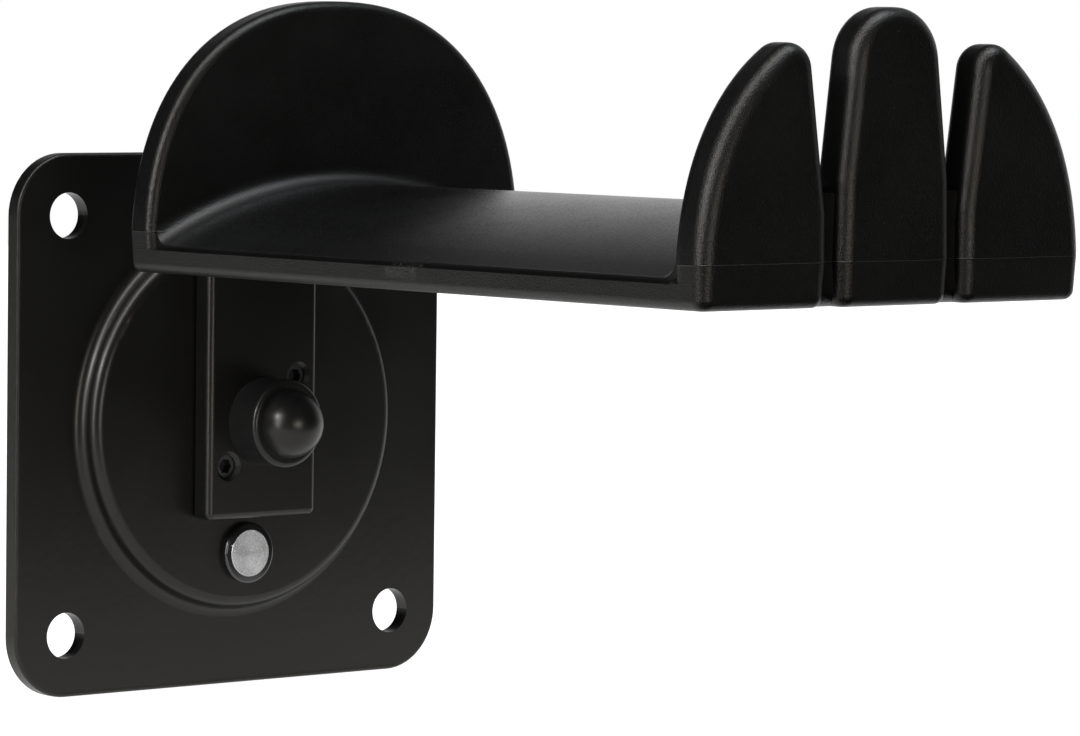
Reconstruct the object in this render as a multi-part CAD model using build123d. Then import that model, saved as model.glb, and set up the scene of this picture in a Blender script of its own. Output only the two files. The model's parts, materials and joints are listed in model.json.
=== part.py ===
from build123d import *
from math import asin, cos, pi, radians, sin, sqrt, tan
import os

# Wall hanger with an arched saddle on a flat steel arm. Millimetres, Z up.
# The wall is the plane Y = 0 and the arm reaches away from it along -Y, so a
# distance called "out" is measured from the wall and stands for Y = -out.

# Wall plate: square sheet steel with a round boss pressed forward
plate_size = 100.0
plate_thickness = 3.0
plate_corner_radius = 11.5
plate_edge_round = 0.6
hole_spacing = 77.2
hole_diameter = 8.5
boss_foot_radius = 35.5
boss_top_radius = 35.2
boss_rise = 4.1
boss_wall_shift = 2.5
boss_bend_radius = 2.1

# Arm: flat bar, upright on the boss, then bent forward under the saddle
bar_width = 25.6
bar_thickness = 5.0
bar_edge_round = 1.3
bar_foot_z = -18.05
bar_end_round = 1.2
bar_bend_radius = 8.5
bar_reach = 158.0

# Fasteners at the centre of the boss (M8)
bolt_diameter = 8.0
bolt_clearance = 0.4
bolt_head_diameter = 13.5
bolt_head_height = 3.4
bolt_socket = 5.0
bolt_socket_depth = 2.2
bolt_head_round = 1.2
bolt_end_round = 0.8
bolt_end_out = 21.0
washer_thickness = 2.0
washer_diameter = 14.8
washer_split = 1.2
washer_split_turn = 25.0
nut_across_flats = 13.0
nut_height = 4.0
nut_bevel_slope = 0.6

# Domed cap over the nut
cap_diameter = 16.4
cap_bore = 15.1
cap_shoulder_out = 19.8
cap_edge_round = 0.9
cap_dome_radius = 6.4
cap_dome_inner_radius = 5.2
cap_end_gap = 0.2

# Two set screws that keep the bar from turning (M5)
set_screw_diameter = 4.2
set_screw_circle_radius = 11.5
set_screw_angle = 45.0
set_screw_sink = 1.1
set_screw_socket = 2.5
set_screw_socket_depth = 1.8
set_screw_mouth = 5.6
set_screw_dimple = 0.5

# Round badge stuck on the boss below the bar
badge_diameter = 11.4
badge_thickness = 1.3
badge_edge_round = 0.45
badge_z = -25.0
badge_face_diameter = 8.8
badge_face_thickness = 0.4
badge_face_proud = 0.1
badge_face_edge_round = 0.08

# Saddle: one plastic moulding, an arch between a round rear disc and a front lip
saddle_back_out = 27.8
saddle_front_out = 179.0
saddle_bottom_z = 29.5
disc_thickness = 6.3
lip_thickness = 8.0
outline_half_width = 43.85
outline_height = 45.7
outline_centre_z = 32.65
outline_squareness = 2.28
outline_steps = 7
parting_z = 36.9
draft_angle = 4.0
arch_radius = 89.0
arch_crest_z = 45.2
arch_wall = 2.8
rim_wall = 3.0
disc_edge_round = 1.7
lip_edge_round = 2.8
root_fillet = 3.0
root_bury = 0.4
bottom_round = 1.8
rim_top_z = 33.65
gutter_width = 0.6
gutter_depth = 0.9
gutter_inset = 1.7

# Fingers of the front lip, which two tapering slots separate
middle_root_half_width = 13.0
middle_waist_half_width = 12.45
middle_waist_z = 50.0
middle_tip_half_width = 8.9
middle_tip_round = 9.2
outer_root_x = 15.2
outer_waist_x = 15.5
outer_waist_z = 45.0
outer_tip_x = 20.4
outer_tip_round = 4.5
web_top_z = 48.1
web_setback = 2.5
web_top_round = 2.6
finger_spare = 10.0
lip_end_half_width = 20.0

# Underside of the saddle: screw posts and ribs that hold the bar
bar_top_z = 38.5
screw_outs = (52.0, 97.0, 142.0)
post_diameter = 9.0
rib_thickness = 2.0
rib_bottom_z = 33.0
cross_rib_outs = (74.5, 119.5)
bar_side_gap = 0.5
screw_diameter = 4.0
screw_hole_clearance = 0.5
screw_head_diameter = 8.0
screw_head_height = 2.4
screw_tip_z = 43.6
screw_head_round = 0.9
cross_recess_length = 4.2
cross_recess_width = 0.9
cross_recess_depth = 1.3
screw_washer_diameter = 10.0
screw_washer_thickness = 0.8

# Joined pieces run into each other by the overlap, and cuts run past a face by the overcut
overlap = 1.0
overcut = 1.0
far = 400.0

# Places that follow from the sizes above
boss_out = plate_thickness + boss_rise
bar_front_out = boss_out + bar_thickness
bar_under_z = bar_top_z - bar_thickness
bolt_hole_radius = (bolt_diameter + bolt_clearance) / 2
screw_hole_radius = (screw_diameter + screw_hole_clearance) / 2
arch_centre_z = arch_crest_z - arch_radius
disc_face_out = saddle_back_out + disc_thickness
lip_back_out = saddle_front_out - lip_thickness


def slab(outline, start_out, end_out):
    """Extrude an outline drawn in X and Z between two distances from the wall."""
    return extrude(Plane.XZ.offset(start_out) * outline, amount=end_out - start_out)


def turned(points, rounds=None):
    """Turn a closed outline of (radius, out) points about the Y axis."""
    face = make_face(Polyline(*[(radius, -out) for radius, out in points], close=True))
    for (radius, out), size in (rounds or {}).items():
        corner = face.vertices().sort_by_distance((radius, -out, 0))[0]
        face = fillet(corner, size)
    return revolve(face, axis=Axis.Y)


def rod(radius, start_out, end_out, x=0.0, z=0.0):
    """Round rod along Y between two distances from the wall."""
    return slab(Pos(x, z) * Circle(radius), start_out, end_out)


def upright(radius, low_z, high_z, out):
    """Round rod along Z at a distance from the wall."""
    rod_shape = Cylinder(radius, high_z - low_z, align=(Align.CENTER, Align.CENTER, Align.MIN))
    return Pos(0, -out, low_z) * rod_shape


def block(half_width, low_out, high_out, low_z, high_z):
    """Box centred on X = 0."""
    size = (2 * half_width, high_out - low_out, high_z - low_z)
    return Pos(0, -high_out, low_z) * Box(*size, align=(Align.CENTER, Align.MIN, Align.MIN))


def set_screw_places():
    reach_x = set_screw_circle_radius * cos(radians(set_screw_angle))
    reach_z = set_screw_circle_radius * sin(radians(set_screw_angle))
    return [(-reach_x, -reach_z), (reach_x, reach_z)]


def screw_blank(end_out):
    """Set screw with a blunt cone tip that sits in a dimple of the boss."""
    radius = set_screw_diameter / 2
    tip = radius - set_screw_dimple
    low = boss_out - set_screw_dimple
    return turned([(0, low), (tip, low), (radius, boss_out), (radius, end_out), (0, end_out)])


def wall_plate():
    sheet = slab(RectangleRounded(plate_size, plate_size, plate_corner_radius), 0, plate_thickness)
    rim = sheet.faces().sort_by(Axis.Y)[0].outer_wire().edges()
    sheet = fillet(rim, plate_edge_round)
    seat_radius = boss_foot_radius + boss_bend_radius + overlap
    sheet -= rod(seat_radius, -overcut, plate_thickness + overcut)
    front_foot = (boss_foot_radius, plate_thickness)
    front_top = (boss_top_radius, boss_out)
    back_top = (boss_top_radius - boss_wall_shift, boss_rise)
    back_foot = (boss_foot_radius - boss_wall_shift, 0)
    outline = [(0, boss_rise), back_top, back_foot, (seat_radius, 0), (seat_radius, plate_thickness),
               front_foot, front_top, (0, boss_out)]
    bends = {front_foot: boss_bend_radius, front_top: boss_bend_radius,
             back_top: boss_bend_radius, back_foot: boss_bend_radius}
    plate = sheet + turned(outline, bends)
    for x in (-hole_spacing / 2, hole_spacing / 2):
        for z in (-hole_spacing / 2, hole_spacing / 2):
            plate -= rod(hole_diameter / 2, -overcut, plate_thickness + overcut, x, z)
    plate -= rod(bolt_hole_radius, 0, boss_out + overcut)
    for x, z in set_screw_places():
        plate -= Pos(x, 0, z) * screw_blank(boss_out + overcut)
    return plate


def arm_bar():
    centre_out = boss_out + bar_thickness / 2
    centre_z = bar_top_z - bar_thickness / 2
    path = FilletPolyline((0, -centre_out, bar_foot_z), (0, -centre_out, centre_z), (0, -bar_reach, centre_z),
                          radius=bar_bend_radius)
    section = Plane(origin=(0, -centre_out, bar_foot_z), x_dir=(1, 0, 0), z_dir=(0, 0, 1))
    bar = sweep(section * RectangleRounded(bar_width, bar_thickness, bar_edge_round), path=path)
    foot = bar.faces().sort_by(Axis.Z)[0]
    bar = fillet(foot.outer_wire().edges(), bar_end_round)
    bar -= rod(bolt_hole_radius, 0, bar_front_out + overcut)
    mouth = (set_screw_mouth - set_screw_diameter) / 2
    hole = set_screw_diameter / 2
    for x, z in set_screw_places():
        bar -= rod(hole, 0, bar_front_out + overcut, x, z)
        bar -= Pos(x, 0, z) * turned([(0, bar_front_out - mouth), (hole, bar_front_out - mouth),
                                      (hole + mouth, bar_front_out), (0, bar_front_out)])
    for out in screw_outs:
        bar -= upright(screw_hole_radius, bar_under_z - overcut, bar_top_z + overcut, out)
    return bar


def centre_bolt():
    head_back = boss_rise - bolt_head_height
    head = bolt_head_diameter / 2
    shank = bolt_diameter / 2
    bolt = turned([(0, head_back), (head, head_back), (head, boss_rise), (shank, boss_rise),
                   (shank, bolt_end_out), (0, bolt_end_out)],
                  {(head, head_back): bolt_head_round, (shank, bolt_end_out): bolt_end_round})
    socket = RegularPolygon(bolt_socket / 2, 6, major_radius=False)
    return bolt - slab(socket, 0, head_back + bolt_socket_depth)


def lock_washer():
    end = bar_front_out + washer_thickness
    ring = rod(washer_diameter / 2, bar_front_out, end)
    ring -= rod(bolt_hole_radius, bar_front_out - overcut, end + overcut)
    cutter = Box(washer_split, 2 * (washer_thickness + overcut), washer_diameter / 2,
                 align=(Align.CENTER, Align.CENTER, Align.MIN))
    return ring - Pos(0, -bar_front_out, 0) * Rot(0, 0, washer_split_turn) * cutter


def hex_nut():
    start = bar_front_out + washer_thickness
    end = start + nut_height
    nut = slab(RegularPolygon(nut_across_flats / 2, 6, major_radius=False), start, end)
    flat = nut_across_flats / 2
    corner = nut_across_flats / sqrt(3)
    bevel = (corner - flat) * nut_bevel_slope
    nut &= turned([(0, start), (flat, start), (corner, start + bevel),
                   (corner, end - bevel), (flat, end), (0, end)])
    return nut - rod(bolt_diameter / 2, start - overcut, end + overcut)


def nut_cap():
    outer = cap_diameter / 2
    nut_end = bar_front_out + washer_thickness + nut_height
    bore_end = nut_end + cap_end_gap
    outline = [(0, bar_front_out), (outer, bar_front_out), (outer, cap_shoulder_out), (0, cap_shoulder_out)]
    skin = turned(outline, {(outer, cap_shoulder_out): cap_edge_round})
    skin += Pos(0, -cap_shoulder_out, 0) * Sphere(cap_dome_radius)
    skin -= rod(cap_bore / 2, bar_front_out - overcut, bore_end)
    skin -= Pos(0, -bore_end, 0) * Sphere(cap_dome_inner_radius)
    return skin


def locating_screws():
    face = bar_front_out - set_screw_sink
    hexagon = RegularPolygon(set_screw_socket / 2, 6, major_radius=False)
    screw = screw_blank(face) - slab(hexagon, face - set_screw_socket_depth, face)
    return [Pos(x, 0, z) * screw for x, z in set_screw_places()]


def badge_base():
    top = boss_out + badge_thickness
    radius = badge_diameter / 2
    seat = badge_face_diameter / 2
    floor = top - badge_face_thickness + badge_face_proud
    return Pos(0, 0, badge_z) * turned([(0, boss_out), (radius, boss_out), (radius, top), (seat, top),
                                        (seat, floor), (0, floor)], {(radius, top): badge_edge_round})


def badge_face():
    top = boss_out + badge_thickness + badge_face_proud
    radius = badge_face_diameter / 2
    return Pos(0, 0, badge_z) * turned([(0, top - badge_face_thickness), (radius, top - badge_face_thickness),
                                        (radius, top), (0, top)], {(radius, top): badge_face_edge_round})


def outline_point(z):
    """Half width of the saddle's outline at a height above the parting line."""
    rise = (z - outline_centre_z) / outline_height
    return outline_half_width * (1 - rise ** outline_squareness) ** (1 / outline_squareness)


def outline_face(foot_half_width, foot_z):
    """Squarish round top on flanks that run straight from the parting line to a foot."""
    widest = outline_point(parting_z)
    steps = [index / outline_steps for index in range(1, outline_steps)]
    start = asin((parting_z - outline_centre_z) / outline_height)
    heights = [outline_centre_z + outline_height * sin(start + (pi / 2 - start) * step) for step in steps]
    left = [(-outline_point(z), z) for z in heights]
    right = [(-x, z) for x, z in reversed(left)]
    top = (0, outline_centre_z + outline_height)
    head = Spline((-widest, parting_z), *left, top, *right, (widest, parting_z))
    flanks = Polyline((widest, parting_z), (foot_half_width, foot_z), (-foot_half_width, foot_z),
                      (-widest, parting_z))
    return make_face(head + flanks)


def saddle_outline():
    """Outline of the saddle; its flanks draw in below the parting line."""
    narrow = outline_point(parting_z) - (parting_z - saddle_bottom_z) * tan(radians(draft_angle))
    face = outline_face(narrow, saddle_bottom_z)
    return fillet(face.vertices().sort_by(Axis.Y)[:2], bottom_round)


def circle_of_arch(radius):
    return Pos(0, arch_centre_z) * Circle(radius)


def finger_outlines():
    """Outlines of the three fingers, longer than the fingers at the bottom."""
    top_z = outline_centre_z + outline_height
    middle_slope = (middle_root_half_width - middle_waist_half_width) / (middle_waist_z - saddle_bottom_z)
    foot_z = saddle_bottom_z - finger_spare
    profile = [(middle_root_half_width + middle_slope * finger_spare, foot_z),
               (middle_waist_half_width, middle_waist_z), (middle_tip_half_width, top_z)]
    middle = Polygon(*profile, *[(-x, z) for x, z in reversed(profile)], align=None)
    middle = fillet(middle.vertices().sort_by(Axis.Y)[-2:], middle_tip_round)
    outer_slope = (outer_tip_x - outer_waist_x) / (top_z - outer_waist_z)
    root_slope = (outer_waist_x - outer_root_x) / (outer_waist_z - saddle_bottom_z)
    side = Polygon((outer_root_x - root_slope * finger_spare, foot_z), (far, foot_z), (far, far),
                   (outer_tip_x + outer_slope * (far - top_z), far), (outer_waist_x, outer_waist_z),
                   align=None)
    side &= outline_face(outline_point(parting_z), foot_z)
    side = fillet(side.vertices().sort_by(Axis.Y)[-1], outer_tip_round)
    return [middle, side, mirror(side, about=Plane.YZ)]


def finger(outline):
    """Finger with rounded edges, whose faces draw in below the parting line."""
    solid = rounded_slab(outline, lip_back_out, saddle_front_out, lip_edge_round)
    joint = section(solid, section_by=Plane.XY.offset(parting_z))
    foot = extrude(joint, amount=parting_z - saddle_bottom_z, dir=(0, 0, -1), taper=draft_angle)
    rim = foot.faces().sort_by(Axis.Z)[0].edges()
    foot = fillet([edge for edge in rim if edge.center().Y < -lip_back_out - overlap], bottom_round)
    return (solid & block(far, 0, far, parting_z, far)) + foot


def rounded_slab(outline, start_out, end_out, size):
    """Extruded outline with both rims rounded."""
    solid = slab(outline, start_out, end_out)
    low = solid.faces().sort_by(Axis.Y)[0].outer_wire().edges()
    high = solid.faces().sort_by(Axis.Y)[-1].outer_wire().edges()
    return fillet(low + high, size)


def root_cove(wall_out, side):
    """Concave fillet between the arch and a wall; side is 1 in front of the wall and -1 behind it."""
    top = arch_radius + root_fillet
    foot_out = wall_out + side * root_fillet
    bulge = root_fillet * (1 - sqrt(0.5))
    low = arch_radius - arch_wall / 2
    buried_out = wall_out - side * root_bury
    edges = Polyline((low, -foot_out), (low, -buried_out), (top, -buried_out), (top, -wall_out))
    curve = ThreePointArc((top, -wall_out), (arch_radius + bulge, -wall_out - side * bulge),
                          (arch_radius, -foot_out))
    closing = Line((arch_radius, -foot_out), (low, -foot_out))
    ring = revolve(make_face(edges + curve + closing), axis=Axis.Y)
    return Pos(0, 0, arch_centre_z) * ring


def saddle_shell():
    """Arch, rim, rear disc and front lip, before the underside is cored out."""
    outline = saddle_outline()
    start = saddle_back_out + disc_edge_round
    end = lip_back_out + overlap
    step = outline_half_width - gutter_inset
    panel = Rectangle(2 * step, far)
    body = slab(circle_of_arch(arch_radius) & outline & Rectangle(far, 2 * rim_top_z), start, end)
    body += slab(circle_of_arch(arch_radius) & outline & panel, start, end)
    ends = (circle_of_arch(arch_radius) & outline) - Rectangle(2 * lip_end_half_width, far)
    body += slab(ends, lip_back_out, saddle_front_out - lip_edge_round)
    for cove in (root_cove(disc_face_out, 1), root_cove(lip_back_out, -1)):
        body += cove & slab(outline & panel, start, end)
    for side in (-1, 1):
        gutter = Pos(side * (step + gutter_width / 2), 0) * Rectangle(gutter_width, 2 * rim_top_z)
        gutter -= Rectangle(far, 2 * (rim_top_z - gutter_depth))
        body -= slab(gutter, disc_face_out, lip_back_out)
    return body + rounded_slab(outline, saddle_back_out, disc_face_out, disc_edge_round)


def front_lip():
    """Three fingers, and the webs that close the slots low down."""
    lip = [finger(outline) for outline in finger_outlines()]
    inner = middle_waist_half_width - overlap
    width = outer_waist_x + overlap - inner
    core = web_profile(lip_back_out + lip_edge_round, 0)
    web = extrude(Plane.YZ.offset(inner - lip_edge_round) * core, amount=width + 2 * lip_edge_round,
                  dir=(1, 0, 0))
    front = web_profile(saddle_front_out - web_setback, web_top_round)
    web += extrude(Plane.YZ.offset(inner) * front, amount=width, dir=(1, 0, 0))
    return lip + [web, mirror(web, about=Plane.YZ)]


def web_profile(front_out, top_round):
    """Side view of a web, drawn in Y and Z."""
    face = Polygon((-lip_back_out, saddle_bottom_z), (-front_out, saddle_bottom_z), (-front_out, web_top_z),
                   (-lip_back_out, web_top_z), align=None)
    if top_round:
        face = fillet(face.vertices().sort_by(Axis.Y)[:2].sort_by(Axis.Z)[-1], top_round)
    return face


def hollow():
    """Space under the arch, between the rim walls, the disc and the lip."""
    half_width = outline_half_width - rim_wall - bottom_round
    inside = slab(circle_of_arch(arch_radius - arch_wall), disc_face_out, lip_back_out)
    return inside & block(half_width, 0, far, saddle_bottom_z - overcut, far)


def bar_supports():
    """Ribs and screw posts that stand on the bar, kept inside the hollow."""
    ribs = []
    rail = bar_width / 2 + bar_side_gap
    for side in (-1, 1):
        box = block(rib_thickness / 2, saddle_back_out, saddle_front_out, rib_bottom_z, far)
        ribs.append(Pos(side * (rail + rib_thickness / 2), 0, 0) * box)
    for out in cross_rib_outs:
        rib = block(far, out - rib_thickness / 2, out + rib_thickness / 2, rib_bottom_z, far)
        rib -= block(rail, 0, far, saddle_bottom_z - overcut, bar_top_z)
        ribs.append(rib)
    for out in screw_outs:
        ribs.append(upright(post_diameter / 2, bar_top_z, far, out))
    return ribs


def saddle():
    body = saddle_shell()
    for piece in front_lip():
        body += piece
    supports = [piece & hollow() for piece in bar_supports()]
    body -= hollow()
    for piece in supports:
        body += piece
    passage = bar_width / 2 + bar_side_gap
    body -= block(passage, saddle_back_out - overcut, disc_face_out + overcut,
                  saddle_bottom_z - overcut, bar_top_z)
    for out in screw_outs:
        body -= upright(screw_diameter / 2, bar_top_z - overcut, screw_tip_z, out)
    return body


def saddle_washers():
    low = bar_under_z - screw_washer_thickness
    washers = []
    for out in screw_outs:
        washer = upright(screw_washer_diameter / 2, low, bar_under_z, out)
        washers.append(washer - upright(screw_hole_radius, low - overcut, bar_under_z + overcut, out))
    return washers


def saddle_screws():
    """Pan-head screws that rise through the bar into the posts."""
    seat = bar_under_z - screw_washer_thickness
    screws = []
    for out in screw_outs:
        head = upright(screw_head_diameter / 2, seat - screw_head_height, seat, out)
        head = fillet(head.edges().sort_by(Axis.Z)[0], screw_head_round)
        shank = upright(screw_diameter / 2, seat, screw_tip_z, out)
        for turn in (0, 90):
            blade = Box(cross_recess_length, cross_recess_width, cross_recess_depth,
                        align=(Align.CENTER, Align.CENTER, Align.MIN))
            head -= Pos(0, -out, seat - screw_head_height) * Rot(0, 0, turn) * blade
        screws.append(head + shank)
    return screws


def write(name, shape):
    solids = []
    for item in shape if isinstance(shape, list) else [shape]:
        solids += item.solids()
    export_step(Compound(children=solids), f"parts/{name}.step")


if __name__ == "__main__":
    os.makedirs("parts", exist_ok=True)
    write("wall_plate", wall_plate())
    write("arm_bar", arm_bar())
    write("centre_bolt", centre_bolt())
    write("lock_washer", lock_washer())
    write("hex_nut", hex_nut())
    write("nut_cap", nut_cap())
    write("locating_screws", locating_screws())
    write("badge_base", badge_base())
    write("badge_face", badge_face())
    write("saddle", saddle())
    write("saddle_washers", saddle_washers())
    write("saddle_screws", saddle_screws())
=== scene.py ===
import json
import math

import bpy
from mathutils import Matrix, Vector

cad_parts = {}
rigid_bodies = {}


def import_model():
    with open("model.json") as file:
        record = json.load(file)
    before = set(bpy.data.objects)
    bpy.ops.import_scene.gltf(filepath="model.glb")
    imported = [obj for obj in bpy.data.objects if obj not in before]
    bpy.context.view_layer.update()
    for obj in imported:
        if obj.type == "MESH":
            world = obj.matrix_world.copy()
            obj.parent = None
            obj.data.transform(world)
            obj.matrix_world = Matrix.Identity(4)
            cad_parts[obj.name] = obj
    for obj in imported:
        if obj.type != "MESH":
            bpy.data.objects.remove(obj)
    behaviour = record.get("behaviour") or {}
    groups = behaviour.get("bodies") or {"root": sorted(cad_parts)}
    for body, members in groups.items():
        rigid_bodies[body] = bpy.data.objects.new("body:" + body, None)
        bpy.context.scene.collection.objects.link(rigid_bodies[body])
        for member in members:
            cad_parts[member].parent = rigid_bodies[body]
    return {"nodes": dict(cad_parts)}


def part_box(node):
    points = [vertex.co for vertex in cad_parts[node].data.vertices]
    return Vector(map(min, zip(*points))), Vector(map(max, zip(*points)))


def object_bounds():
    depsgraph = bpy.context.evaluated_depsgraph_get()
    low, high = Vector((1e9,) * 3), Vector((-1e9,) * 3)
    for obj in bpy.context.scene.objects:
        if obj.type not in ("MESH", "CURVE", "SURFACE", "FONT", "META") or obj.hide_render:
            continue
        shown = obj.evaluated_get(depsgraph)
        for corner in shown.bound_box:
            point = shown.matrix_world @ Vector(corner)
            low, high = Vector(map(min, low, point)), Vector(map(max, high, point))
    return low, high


# Finishes, camera and studio for a wall headphone hanger. Metres, Z up; the wall is the
# plane Y = 0 and the saddle reaches out along -Y.

for leftover in list(bpy.data.objects):
    bpy.data.objects.remove(leftover)

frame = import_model()
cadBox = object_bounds()
nodes = frame["nodes"]
print("frame loaded:", len(nodes), "nodes")


class Wire:
    # one output socket; arithmetic on it adds Math nodes to its sheet
    def __init__(self, sheet, socket):
        self.sheet, self.socket = sheet, socket

    def __add__(self, other):
        return self.sheet.maths("ADD", self, other)

    def __sub__(self, other):
        return self.sheet.maths("SUBTRACT", self, other)

    def __rsub__(self, other):
        return self.sheet.maths("SUBTRACT", other, self)

    def __mul__(self, other):
        return self.sheet.maths("MULTIPLY", self, other)

    def __pow__(self, other):
        return self.sheet.maths("POWER", self, other)

    def __rpow__(self, other):
        return self.sheet.maths("POWER", other, self)

    def __lt__(self, other):
        return self.sheet.maths("LESS_THAN", self, other)

    def __gt__(self, other):
        return self.sheet.maths("GREATER_THAN", self, other)

    def __abs__(self):
        return self.sheet.maths("ABSOLUTE", self)

    __radd__ = __add__
    __rmul__ = __mul__


class Sheet:
    # the nodes of one material, or of the world
    def __init__(self, owner):
        owner.use_nodes = True
        self.tree = owner.node_tree
        self.tree.nodes.clear()

    def node(self, kind, settings=None, inputs=None, output=0):
        # settings come first; an input is a value, a colour or another wire
        made = self.tree.nodes.new(kind)
        for key, value in (settings or {}).items():
            setattr(made, key, value)
        for key, value in (inputs or {}).items():
            if isinstance(value, Wire):
                self.tree.links.new(value.socket, made.inputs[key])
            else:
                made.inputs[key].default_value = value
        return Wire(self, made.outputs[output]) if made.outputs else None

    def maths(self, operation, *values):
        return self.node("ShaderNodeMath", {"operation": operation}, dict(enumerate(values)))

    def axes(self, place):
        outputs = self.node("ShaderNodeSeparateXYZ", inputs={0: place}).socket.node.outputs
        return [Wire(self, outputs[axis]) for axis in "XYZ"]

    def step(self, value, low, high, start=0.0, end=1.0):
        # from start at low to end at high, along a smooth S
        return self.node("ShaderNodeMapRange", {"interpolation_type": "SMOOTHSTEP", "clamp": True},
                         {"Value": value, "From Min": low, "From Max": high, "To Min": start, "To Max": end})

    def bell(self, value, centre, half):
        # 1 at the centre, falling smoothly to 0 at half on each side
        return self.step(abs(value - centre), 0.0, half, 1.0, 0.0)


class Finish(Sheet):
    # one material: a Principled surface and the nodes that feed it
    def __init__(self, name):
        self.material = bpy.data.materials.new(name)
        super().__init__(self.material)
        self.place = self.node("ShaderNodeTexCoord", output="Object")
        self.x, self.y, self.z = self.axes(self.place)

    def noise(self, scale, detail, rough, at=None):
        return self.node("ShaderNodeTexNoise", inputs={
            "Vector": at or self.place, "Scale": scale, "Detail": detail, "Roughness": rough})

    def cells(self, scale):
        return self.node("ShaderNodeTexVoronoi", inputs={"Vector": self.place, "Scale": scale})

    def stretched(self, scale, turn=(0, 0, 0)):
        return self.node("ShaderNodeMapping", inputs={"Vector": self.place, "Scale": scale, "Rotation": turn})

    def tint(self, share, first, second):
        return self.node("ShaderNodeMix", {"data_type": "RGBA"}, {0: share, 6: first, 7: second}, output=2)

    def bump(self, height):
        return self.node("ShaderNodeBump", inputs={"Height": height, "Distance": 1.0, "Strength": 1.0})

    def finish(self, colour, roughness, height, **constants):
        inputs = {"Base Color": colour, "Roughness": roughness, "Normal": self.bump(height)}
        inputs.update({key.replace("_", " "): value for key, value in constants.items()})
        surface = self.node("ShaderNodeBsdfPrincipled", inputs=inputs)
        self.node("ShaderNodeOutputMaterial", inputs={"Surface": surface})
        return self.material


def grey(level, warm=0.0):
    # neutral colour, warmed a little towards brown where warm is above 0
    return (level * (1 + warm), level, level * (1 - warm), 1.0)


def coat(node, material):
    mesh = nodes[node].data
    if not mesh.materials:
        mesh.materials.append(material)
    for index in range(len(nodes[node].material_slots)):
        nodes[node].material_slots[index].material = material


warmSheen = (1.0, 0.965, 0.90, 1.0)  # tint of the gloss on black paint and plastic

# black powder coat on the plate and the arm; heights are in metres
powderLook = {
    "base": 0.0030, "rough": 0.33, "ior": 1.38,
    "peelScale": 620.0, "peel": 0.00002,
    "grainScale": 5200.0, "grain": 0.000006, "grainRough": 0.12,
    "cloudScale": 38.0, "cloudRough": 0.10,
}


def powderCoat(name, look, edges):
    f = Finish(name)
    # orange peel: soft noise cells of about 1.5 mm, with a fine grain of 0.2 mm over them
    peel = f.noise(look["peelScale"], 2.0, 0.45)
    grain = f.noise(look["grainScale"], 2.0, 0.6)
    cloud = f.noise(look["cloudScale"], 3.0, 0.55)
    height = peel * look["peel"] + grain * look["grain"]
    rough = look["rough"] + (cloud - 0.5) * look["cloudRough"] + (grain - 0.5) * look["grainRough"]
    colour = f.tint(f.step(cloud, 0.3, 0.75), grey(look["base"] * 0.85, 0.05), grey(look["base"] * 1.25, 0.03))
    colour, rough, height = edges(f, colour, rough, height)
    return f.finish(colour, rough, height, IOR=look["ior"], Specular_Tint=warmSheen)


# the plate's sheared side: its depth from the edge, and its tears
shearLook = {"inner": 0.0010, "outer": 0.0003, "scale": 900.0, "stretch": (1.0, 6.0, 0.6),
             "tone": 0.016, "share": 0.6, "rough": 0.1, "depth": 0.00005}


def plateEdges(f, colour, rough, height):
    # the side of the sheet has fine upright tears and thin paint
    look, half = shearLook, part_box("wall_plate")[1].x
    away = f.maths("MAXIMUM", abs(f.x), abs(f.z))
    side = f.step(away, half - look["inner"], half - look["outer"])
    tears = f.noise(look["scale"], 3.0, 0.65, f.stretched(look["stretch"]))
    colour = f.tint(side * f.step(tears, 0.48, 0.7) * look["share"], colour, grey(look["tone"], 0.12))
    return colour, rough + side * look["rough"], height + side * tears * look["depth"]


# faint lines along the drawn edges of the flat bar
drawLook = {"inner": 0.0009, "outer": 0.0001, "scale": 700.0, "stretch": (1.0, 5.0, 0.12),
            "rough": 0.15, "depth": 0.00002}


def barEdges(f, colour, rough, height):
    look, half = drawLook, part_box("arm_bar")[1].x
    side = f.step(abs(f.x), half - look["inner"], half - look["outer"])
    lines = f.noise(look["scale"], 2.0, 0.6, f.stretched(look["stretch"]))
    return colour, rough + side * (lines - 0.5) * look["rough"], height + side * lines * look["depth"]


# moulded saddle: lengths are measured from the ends of its box
plasticLook = {
    "base": 0.0022, "rough": 0.34, "ior": 1.38,
    "cellScale": 3000.0, "fineScale": 4600.0, "grain": 0.00005, "cellRough": 0.10,
    "broadScale": 60.0, "broadRough": 0.12,
    "archSide": (0.0014, 0.0020), "archBack": (0.0088, 0.0098), "archFront": (0.0104, 0.0114),
    "archGrain": 0.75, "archRough": 0.09,
    "seamUp": 0.0074, "seamHalf": 0.00013, "seamRise": 0.00006, "seamTone": 0.03, "seamShare": 0.3,
    "lipFace": (0.0088, 0.0082), "flank": (0.0033, 0.0028), "belowRough": 0.03,
    "gatePlace": -0.104, "gateLength": (0.0035, 0.0045), "gateUp": 0.0039, "gateHalf": 0.0022,
    "gateScale": 1900.0, "gateRise": 0.00022, "gateTone": 0.04, "gateShare": 0.6,
    "dustScale": 330.0, "dustTone": 0.12, "dustShare": 0.35,
}


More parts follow.
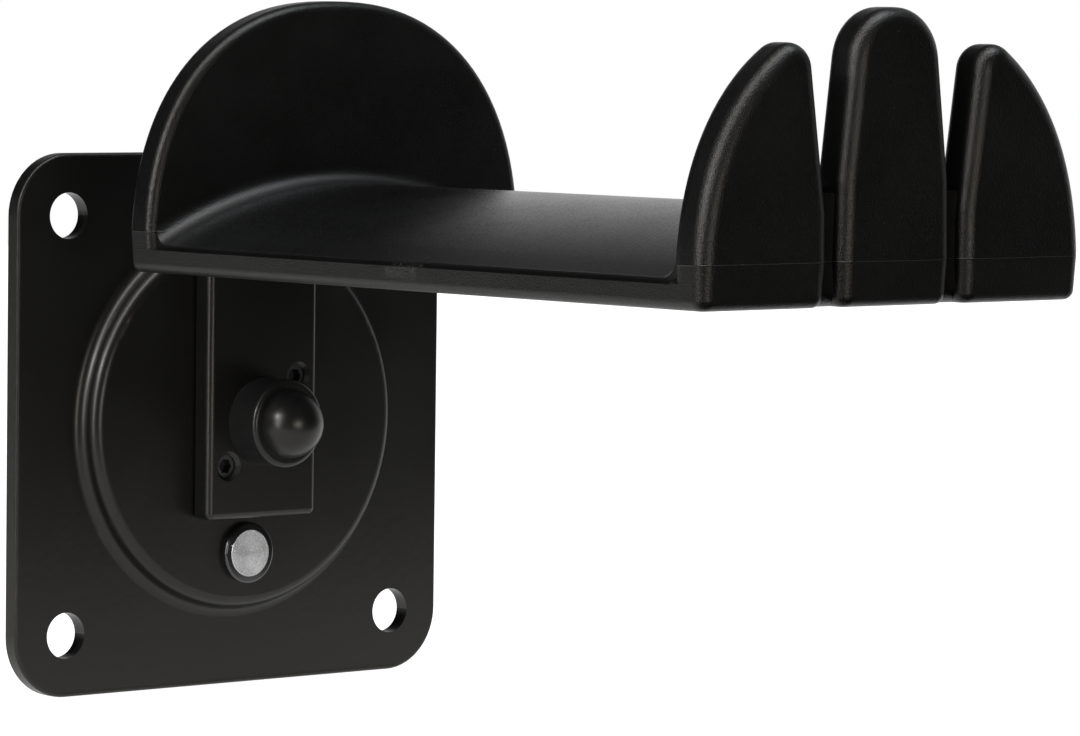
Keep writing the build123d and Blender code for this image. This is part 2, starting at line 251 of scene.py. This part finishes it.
def mouldedPlastic(name, look):
    f = Finish(name)
    low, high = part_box("saddle")
    # spark-eroded grain: rounded cells of about 0.35 mm over noise of about 0.2 mm
    cells = f.cells(look["cellScale"])
    fine = f.noise(look["fineScale"], 2.0, 0.7)
    broad = f.noise(look["broadScale"], 4.0, 0.6)
    # the arch's upper side, between the disc and the lip, left the mould smoother
    arch = f.step(abs(f.x), high.x - look["archSide"][0], high.x - look["archSide"][1])
    arch = arch * f.step(f.y, high.y - look["archBack"][0], high.y - look["archBack"][1])
    arch = arch * f.step(f.y, low.y + look["archFront"][0], low.y + look["archFront"][1])
    height = (cells * 0.5 + fine) * look["grain"] * (1 - arch * look["archGrain"])
    # the seam where the mould halves meet: a raised hair line on the outer faces, coarser below it
    lipFace = f.step(f.y, low.y + look["lipFace"][0], low.y + look["lipFace"][1])
    flank = f.step(abs(f.x), high.x - look["flank"][0], high.x - look["flank"][1])
    seamHeight = low.z + look["seamUp"]
    seam = f.bell(f.z, seamHeight, look["seamHalf"]) * f.maths("MAXIMUM", lipFace, flank)
    below = f.step(f.z, seamHeight - 0.0001, seamHeight + 0.0001, 1.0, 0.0)
    height = height + seam * look["seamRise"]
    rough = look["rough"] - arch * look["archRough"] + (broad - 0.5) * look["broadRough"]
    rough = rough + (cells - 0.35) * look["cellRough"] + below * look["belowRough"]
    colour = f.tint(f.step(broad, 0.35, 0.7), grey(look["base"] * 0.9), grey(look["base"] * 1.3, -0.03))
    # the seam is painted paler towards the fingers only
    paleSeam = seam * look["seamShare"] * f.step(f.y, -0.12, -0.16)
    colour = f.tint(paleSeam, colour, grey(look["seamTone"]))
    # the rough patch that the gate left on the left rim
    patch = f.step(abs(f.y - look["gatePlace"]), *look["gateLength"], 1.0, 0.0)
    patch = patch * f.bell(f.z, low.z + look["gateUp"], look["gateHalf"]) * (f.x < low.x + look["flank"][0])
    torn = f.noise(look["gateScale"], 3.0, 0.7)
    height = height + patch * torn * look["gateRise"]
    colour = f.tint(patch * f.step(torn, 0.5, 0.65) * look["gateShare"], colour, grey(look["gateTone"]))
    # a few specks of dust, some of the 3 mm cells holding one of about 0.15 mm
    chance = f.noise(90.0, 1.0, 0.5)
    dust = f.step(f.cells(look["dustScale"]), 0.02, 0.055, 1.0, 0.0) * f.step(chance, 0.5, 0.62)
    colour = f.tint(dust * look["dustShare"], colour, grey(look["dustTone"]))
    return f.finish(colour, rough, height, IOR=look["ior"], Specular_Tint=warmSheen)


# smooth moulded cap over the nut
capLook = {"dark": 0.0050, "pale": 0.0072, "rough": 0.31, "ior": 1.36, "swirlScale": 120.0, "swirl": 0.00003,
           "swirlRough": 0.08, "grainScale": 4800.0, "grain": 0.000005, "grainRough": 0.06}


def capPlastic(name, look):
    f = Finish(name)
    swirl = f.noise(look["swirlScale"], 3.0, 0.5)
    grain = f.noise(look["grainScale"], 2.0, 0.55)
    colour = f.tint(f.step(swirl, 0.3, 0.7), grey(look["dark"]), grey(look["pale"]))
    rough = look["rough"] + (swirl - 0.5) * look["swirlRough"] + (grain - 0.5) * look["grainRough"]
    height = grain * look["grain"] + swirl * look["swirl"]
    return f.finish(colour, rough, height, IOR=look["ior"], Specular_Tint=warmSheen)


# glossy black rim of the badge, with haze and hair-fine scratches
rimLook = {"dark": 0.003, "pale": 0.005, "rough": 0.12, "hazeScale": 300.0, "haze": 0.000004, "hazeRough": 0.12,
           "hairScale": 500.0, "hairStretch": (8.0, 1.0, 0.7), "hairTurn": (0, 0.5, 0), "hairRough": 0.1}


def badgePlastic(name, look):
    f = Finish(name)
    haze = f.noise(look["hazeScale"], 3.0, 0.6)
    hair = f.noise(look["hairScale"], 2.0, 0.6, f.stretched(look["hairStretch"], look["hairTurn"]))
    rough = look["rough"] + f.step(haze, 0.5, 0.8) * look["hazeRough"]
    rough = rough + f.step(hair, 0.62, 0.75) * look["hairRough"]
    colour = f.tint(haze, grey(look["dark"]), grey(look["pale"]))
    return f.finish(colour, rough, haze * look["haze"], IOR=1.52, Coat_Weight=0.4, Coat_Roughness=0.05)


# silver disc of the badge
silverLook = {"dark": 0.52, "pale": 0.66, "rough": 0.24, "ringPitch": 42000.0, "ringRise": 0.0000022,
              "ringRough": 0.03, "wobbleScale": 2500.0, "wobble": 3.0, "wobbleRough": 0.08}


def badgeMetal(name, look):
    f = Finish(name)
    # spun rings: a sine of the distance from the badge's middle, broken up by noise
    low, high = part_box("badge_face")
    middle = (low + high) / 2
    across, up = f.x - middle.x, f.z - middle.z
    wobble = f.noise(look["wobbleScale"], 2.0, 0.6)
    turns = (across * across + up * up) ** 0.5 * look["ringPitch"] + wobble * look["wobble"]
    rings = f.maths("SINE", turns)
    shade = f.noise(260.0, 2.0, 0.5)
    colour = f.tint(f.step(shade, 0.3, 0.7), grey(look["dark"]), grey(look["pale"], 0.01))
    rough = look["rough"] + rings * look["ringRough"] + (wobble - 0.5) * look["wobbleRough"]
    return f.finish(colour, rough, rings * look["ringRise"], Metallic=1.0, Anisotropic=0.5)


# turned and rolled steel of the fasteners
steelLook = {"lineScale": 1500.0, "lineStretch": (1.0, 0.25, 1.0), "lineRough": 0.2, "lineRise": 0.00001,
             "spotScale": 420.0, "spotRough": 0.1, "metal": 0.85}


def turnedSteel(name, tone, rough, warm=0.0):
    look, f = steelLook, Finish(name)
    lines = f.noise(look["lineScale"], 3.0, 0.6, f.stretched(look["lineStretch"]))
    spots = f.noise(look["spotScale"], 3.0, 0.6)
    colour = f.tint(f.step(spots, 0.35, 0.7), grey(tone * 0.8, warm), grey(tone * 1.15, warm))
    roughness = rough + (lines - 0.5) * look["lineRough"] + (spots - 0.5) * look["spotRough"]
    return f.finish(colour, roughness, lines * look["lineRise"], Metallic=look["metal"])


coat("wall_plate", powderCoat("platePowder", powderLook, plateEdges))
coat("arm_bar", powderCoat("barPowder", powderLook, barEdges))
coat("saddle", mouldedPlastic("saddlePlastic", plasticLook))
coat("nut_cap", capPlastic("capPlastic", capLook))
coat("badge_base", badgePlastic("badgeBlack", rimLook))
coat("badge_face", badgeMetal("badgeSilver", silverLook))
coat("locating_screws", turnedSteel("blackSteel", 0.05, 0.42))
coat("centre_bolt", turnedSteel("boltBlack", 0.03, 0.40))
zinc = turnedSteel("zincSteel", 0.45, 0.32, -0.02)
for node in ("lock_washer", "hex_nut", "saddle_screws", "saddle_washers"):
    coat(node, zinc)
print("finishes made:", len(bpy.data.materials))

# angles in degrees, lengths in metres, the lens in millimetres
shot = {"azimuth": 41.2, "elevation": 3.635, "roll": 0.741, "distance": 1.035258,
        "aim": (0.041349, -0.043, 0.010376), "lens": 184.301, "near": 0.05, "far": 50.0}


def makeCamera(shot):
    azimuth, elevation, roll = (math.radians(shot[key]) for key in ("azimuth", "elevation", "roll"))
    back = Vector((-math.sin(azimuth) * math.cos(elevation), -math.cos(azimuth) * math.cos(elevation),
                   math.sin(elevation)))
    side = (-back).cross(Vector((0, 0, 1))).normalized()
    up = side.cross(-back)
    right = side * math.cos(roll) + up * math.sin(roll)
    top = up * math.cos(roll) - side * math.sin(roll)
    place = Vector(shot["aim"]) + back * shot["distance"]
    camera = bpy.data.objects.new("shotCamera", bpy.data.cameras.new("shotCamera"))
    bpy.context.scene.collection.objects.link(camera)
    camera.matrix_world = Matrix((
        (right.x, top.x, back.x, place.x),
        (right.y, top.y, back.y, place.y),
        (right.z, top.z, back.z, place.z),
        (0, 0, 0, 1)))
    camera.data.sensor_width = 36.0
    camera.data.lens = shot["lens"]
    camera.data.clip_start, camera.data.clip_end = shot["near"], shot["far"]
    bpy.context.scene.camera = camera


# pale floor just below the plate, clear from underneath
floorLook = {"left": -0.28, "right": 1.6, "front": -0.17, "back": 1.6, "drop": 0.0002,
             "glow": 1.0, "tone": 0.25, "rough": 0.9}


def makeFloor(look):
    height = cadBox[0].z - look["drop"]
    corners = [(look["left"], look["front"], height), (look["right"], look["front"], height),
               (look["right"], look["back"], height), (look["left"], look["back"], height)]
    mesh = bpy.data.meshes.new("floor")
    mesh.from_pydata(corners, [], [(0, 1, 2, 3)])
    floor = bpy.data.objects.new("floor", mesh)
    bpy.context.scene.collection.objects.link(floor)
    f = Finish("paleFloor")
    surface = f.node("ShaderNodeBsdfPrincipled", inputs={
        "Base Color": grey(look["tone"]), "Roughness": look["rough"],
        "Emission Color": grey(1.0), "Emission Strength": look["glow"]})
    clear = f.node("ShaderNodeBsdfTransparent")
    under = f.node("ShaderNodeNewGeometry", output="Backfacing")
    shown = f.node("ShaderNodeMixShader", inputs={0: under, 1: surface, 2: clear})
    f.node("ShaderNodeOutputMaterial", inputs={"Surface": shown})
    mesh.materials.append(f.material)


# a small cool box on the left for the cap, a low warm one in front, and a wide one overhead
softboxes = {
    "leftBox": {"place": (-1.0, -0.12, 0.50), "aim": (0.0, -0.05, 0.0), "size": (0.08, 0.11), "watts": 3.6,
                "colour": (0.95, 0.97, 1.0)},
    "frontBox": {"place": (-0.20, -1.30, 0.05), "aim": (0.0, -0.08, 0.02), "size": (0.46, 0.35), "watts": 4.0,
                 "colour": (1.0, 0.95, 0.88)},
    "topBox": {"place": (0.30, -0.42, 1.00), "aim": (0.0, -0.10, 0.04), "size": (0.50, 0.50), "watts": 6.0,
               "colour": (0.84, 0.91, 1.0)},
}


def makeSoftbox(name, box):
    lamp = bpy.data.lights.new(name, "AREA")
    lamp.shape = "RECTANGLE"
    lamp.color = box["colour"]
    lamp.size, lamp.size_y = box["size"]
    lamp.energy = box["watts"]
    light = bpy.data.objects.new(name, lamp)
    bpy.context.scene.collection.objects.link(light)
    light.location = box["place"]
    light.rotation_mode = "QUATERNION"
    light.rotation_quaternion = (Vector(box["aim"]) - Vector(box["place"])).to_track_quat("-Z", "Y")


# strengths of the sky's parts, and their bounds along the axes of a direction
sky = {"seen": 1.0, "room": 0.010,
       "backdrop": 0.9, "heading": (0.87, 0.50, 0.0), "low": 0.05, "high": 0.85, "narrow": 0.88, "wide": 0.52,
       "strip": 12.0, "stripAt": -0.22, "stripHalf": 0.20, "stripLeft": (0.4, -0.1), "stripUp": (-0.2, 0.0)}


def makeSky(sky):
    world = bpy.data.worlds.new("studio")
    bpy.context.scene.world = world
    sheet = Sheet(world)
    where = sheet.node("ShaderNodeTexCoord", output="Generated")
    x, y, z = sheet.axes(where)
    # a dim room with a low pale backdrop behind the object
    facing = sheet.node("ShaderNodeVectorMath", {"operation": "DOT_PRODUCT"}, {0: where, 1: sky["heading"]},
                        output="Value")
    backdrop = sheet.step(facing, sky["wide"], sky["narrow"]) * sheet.step(
        z, sky["low"], sky["high"], sky["backdrop"], 0.0)
    # a strip light that arches from the left over the top
    strip = sheet.bell(y, sky["stripAt"], sky["stripHalf"]) * sky["strip"]
    strip = strip * sheet.step(x, *sky["stripLeft"]) * sheet.step(z, *sky["stripUp"])
    # plain white where it is seen directly
    direct = sheet.node("ShaderNodeLightPath", output="Is Camera Ray")
    level = backdrop + sky["room"] + strip
    strength = sheet.node("ShaderNodeMix", inputs={0: direct, 2: level, 3: sky["seen"]})
    glow = sheet.node("ShaderNodeBackground", inputs={"Color": grey(1.0), "Strength": strength})
    sheet.node("ShaderNodeOutputWorld", inputs={0: glow})


makeCamera(shot)
makeFloor(floorLook)
makeSky(sky)
for name, box in softboxes.items():
    makeSoftbox(name, box)
bpy.context.scene.view_settings.view_transform = "Standard"
print("studio ready:", len(softboxes), "softboxes")
